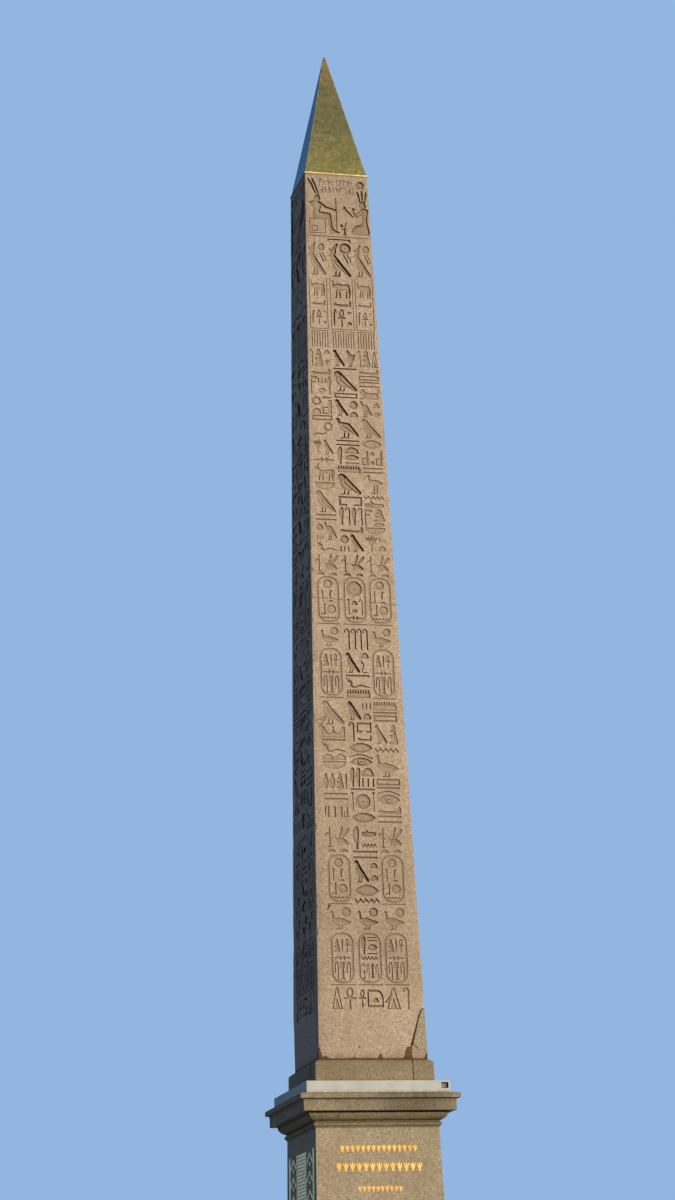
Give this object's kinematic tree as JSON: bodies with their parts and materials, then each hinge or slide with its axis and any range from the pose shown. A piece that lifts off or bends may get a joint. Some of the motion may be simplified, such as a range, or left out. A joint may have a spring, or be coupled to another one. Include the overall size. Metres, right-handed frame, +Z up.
{
  "type": "gilt-capped granite obelisk on a moulded pedestal",
  "caption": "Tapering square granite obelisk with a gilded pointed cap, mended at one foot corner, on a moulded granite pedestal with a step course and a metal lamp casing.",
  "frame": {"origin": "centre of the pedestal's foot, on the ground", "axes": "+Z up along the obelisk's axis, -Y towards the front face, +X to the right of someone who looks at that face"},
  "size_m": [5.2, 5.2, 33.2112],
  "materials": {
    "granite": "matte",
    "pink_granite": "matte",
    "mortar": "matte",
    "cream_paint": "satin",
    "lamp_metal": "satin",
    "gilding": "satin"
  },
  "bodies": {
    "root": {"ground_core": "granite", "ground_stone_front": "granite", "ground_stone_right": "granite", "ground_stone_back": "granite", "ground_stone_left": "granite", "socle_front_left": "granite", "socle_front_right": "granite", "socle_back_right": "granite", "socle_back_left": "granite", "plinth": "granite", "base_moulding": "granite", "die": "granite", "cornice": "granite", "step_core": "granite", "step_stone_front": "granite", "step_stone_right": "granite", "step_stone_back": "granite", "step_stone_left": "granite", "casing_front": "cream_paint", "casing_right": "cream_paint", "casing_back": "cream_paint", "casing_left": "cream_paint", "casing_lid_front": "cream_paint", "casing_lid_right": "cream_paint", "casing_lid_back": "cream_paint", "casing_lid_left": "cream_paint", "lamp_front": "lamp_metal", "lamp_back": "lamp_metal", "bed_mortar": "mortar", "monolith": "pink_granite", "fitted_stone": "pink_granite", "joint_mortar": "mortar", "corner_mortar": "mortar", "cap_rim": "gilding", "cap_plate_front": "gilding", "cap_plate_right": "gilding", "cap_plate_back": "gilding", "cap_plate_left": "gilding", "cap_finial": "gilding"}
  },
  "joints": []
}
